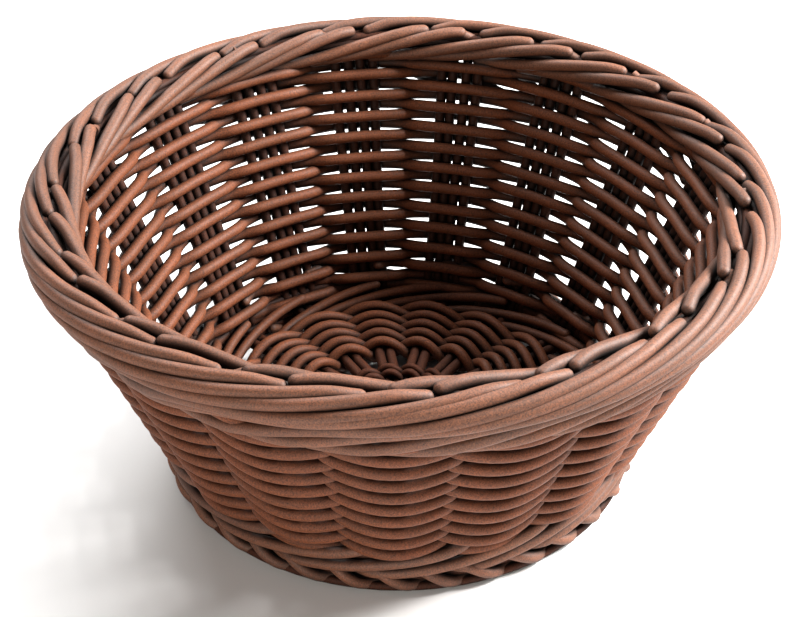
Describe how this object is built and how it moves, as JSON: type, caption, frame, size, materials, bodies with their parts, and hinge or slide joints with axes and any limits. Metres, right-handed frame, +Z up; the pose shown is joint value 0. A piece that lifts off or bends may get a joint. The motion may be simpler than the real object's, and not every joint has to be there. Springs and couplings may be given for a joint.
{
  "type": "woven wicker basket",
  "caption": "Round, open, flared basket woven from brown synthetic wicker strands, with a rolled rim and a rolled foot.",
  "frame": {"origin": "centre of the footprint, on the surface that the basket stands on", "axes": "+Z up along the basket's axis, towards its open mouth; the cut ends of the woven rows face +X"},
  "size_m": [0.2, 0.2, 0.0885],
  "materials": {
    "border_strand": "satin brown extruded strand with fine lengthwise grain",
    "weaver_strand": "satin brown extruded strand with fine lengthwise grain",
    "stake_strand": "satin brown extruded strand with fine lengthwise grain"
  },
  "bodies": {
    "root": {"base_centre": "stake_strand", "base_spokes": "stake_strand", "base_weaver_01": "weaver_strand", "base_weaver_02": "weaver_strand", "base_weaver_03": "weaver_strand", "base_weaver_04": "weaver_strand", "base_weaver_05": "weaver_strand", "base_weaver_06": "weaver_strand", "base_weaver_07": "weaver_strand", "base_weaver_08": "weaver_strand", "base_weaver_09": "weaver_strand", "base_weaver_10": "weaver_strand", "base_weaver_11": "weaver_strand", "foot_border": "border_strand", "rim_border": "border_strand", "side_weaver_01": "weaver_strand", "side_weaver_02": "weaver_strand", "side_weaver_03": "weaver_strand", "side_weaver_04": "weaver_strand", "side_weaver_05": "weaver_strand", "side_weaver_06": "weaver_strand", "side_weaver_07": "weaver_strand", "side_weaver_08": "weaver_strand", "side_weaver_09": "weaver_strand", "side_weaver_10": "weaver_strand", "side_weaver_11": "weaver_strand", "side_weaver_12": "weaver_strand", "side_weaver_13": "weaver_strand", "side_weaver_14": "weaver_strand", "side_weaver_15": "weaver_strand", "side_weaver_16": "weaver_strand", "side_weaver_17": "weaver_strand", "side_weaver_18": "weaver_strand", "side_weaver_19": "weaver_strand", "side_weaver_20": "weaver_strand", "stake_group_01": "stake_strand", "stake_group_02": "stake_strand", "stake_group_03": "stake_strand", "stake_group_04": "stake_strand", "stake_group_05": "stake_strand", "stake_group_06": "stake_strand", "stake_group_07": "stake_strand", "stake_group_08": "stake_strand", "stake_group_09": "stake_strand", "stake_group_10": "stake_strand", "stake_group_11": "stake_strand", "stake_group_12": "stake_strand", "stake_group_13": "stake_strand", "stake_group_14": "stake_strand", "stake_group_15": "stake_strand", "stake_group_16": "stake_strand", "stake_group_17": "stake_strand"}
  },
  "joints": []
}
